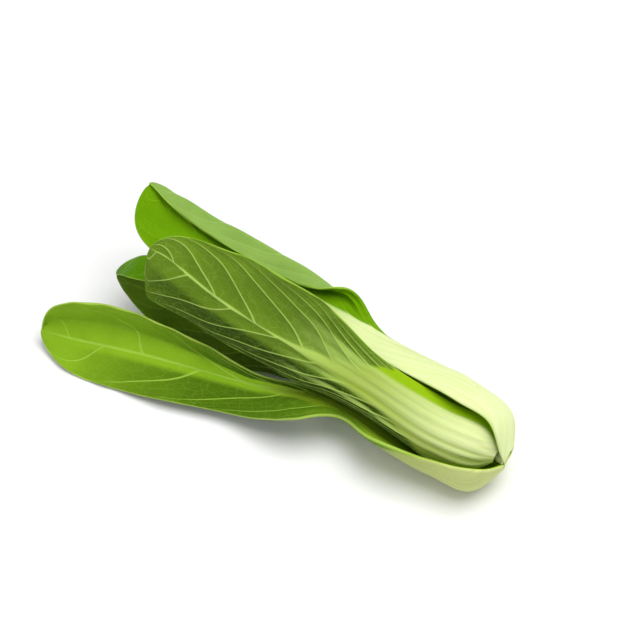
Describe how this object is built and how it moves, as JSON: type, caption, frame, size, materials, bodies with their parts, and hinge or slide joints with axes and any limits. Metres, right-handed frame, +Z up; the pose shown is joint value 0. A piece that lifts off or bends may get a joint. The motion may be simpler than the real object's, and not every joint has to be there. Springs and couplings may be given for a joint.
{
  "type": "bok choy",
  "caption": "Head of Shanghai bok choy lying on a surface: clasping pale petioles round a cut root stump, fanning into waved green blades.",
  "frame": {"origin": "on the surface the head lies on, under the middle of its bounding box", "axes": "+X from the leaf tips towards the cut root end, +Y towards the side that faces away in the picture, +Z up"},
  "size_m": [0.2016, 0.0858, 0.0646],
  "materials": {
    "leaf": "waxy leaf, pale yellow-green petiole to green blade",
    "stump": "cut plant tissue, dull and slightly rough"
  },
  "bodies": {
    "root": {"leaf_front_outer": "leaf", "leaf_back_outer": "leaf", "leaf_under_outer": "leaf", "leaf_top": "leaf", "leaf_under_inner": "leaf", "leaf_back_inner": "leaf", "leaf_heart_large": "leaf", "leaf_heart_small": "leaf", "root_stump": "stump"}
  },
  "joints": []
}
